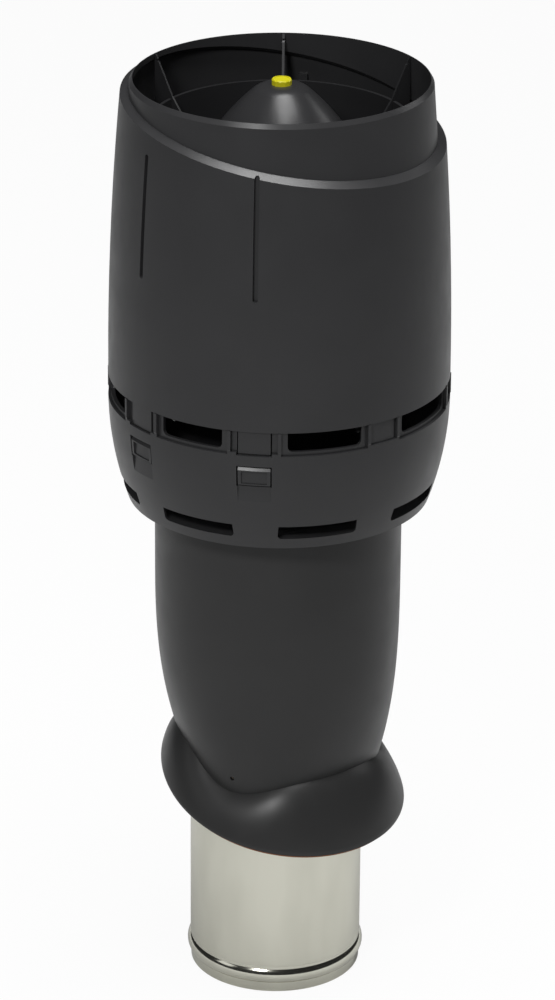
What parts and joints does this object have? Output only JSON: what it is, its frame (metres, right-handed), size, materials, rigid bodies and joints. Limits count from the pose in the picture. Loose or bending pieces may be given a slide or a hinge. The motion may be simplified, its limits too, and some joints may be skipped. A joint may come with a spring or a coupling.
{
  "type": "roof ventilation pipe",
  "caption": "Insulated roof ventilation pipe: a steel duct inside a dark plastic pipe with a roof skirt, topped by a hood that blows straight up past a rain cone.",
  "frame": {"origin": "centre of the steel duct's lower end", "axes": "+Z along the duct, upwards; -Y the down-slope side of the roof, where the skirt hangs lowest"},
  "size_m": [0.308, 0.308, 0.8682],
  "materials": {
    "galvanised_steel": "satin zinc coating",
    "dark_plastic": "fine matt moulded grain",
    "inner_plastic": "matt, black",
    "seal_strip": "matt, orange-brown",
    "seal_rubber": "matt",
    "insulation": "felted fibre",
    "yellow_plastic": "satin",
    "screw_steel": "zinc plated"
  },
  "bodies": {
    "root": {"steel_duct": "galvanised_steel", "outer_pipe": "dark_plastic", "skirt_seal": "seal_strip", "neck_ring": "inner_plastic", "insulation_sleeve": "insulation", "pipe_head_ring": "inner_plastic", "hood_seal": "seal_rubber", "hood_bowl": "dark_plastic", "hood_jacket": "dark_plastic", "inner_sleeve": "inner_plastic", "rain_cone": "inner_plastic", "cone_cap": "yellow_plastic", "cone_bolt": "screw_steel", "cone_nut": "screw_steel", "cone_washers": "screw_steel", "hood_screws": "screw_steel", "duct_screws": "screw_steel"}
  },
  "joints": []
}
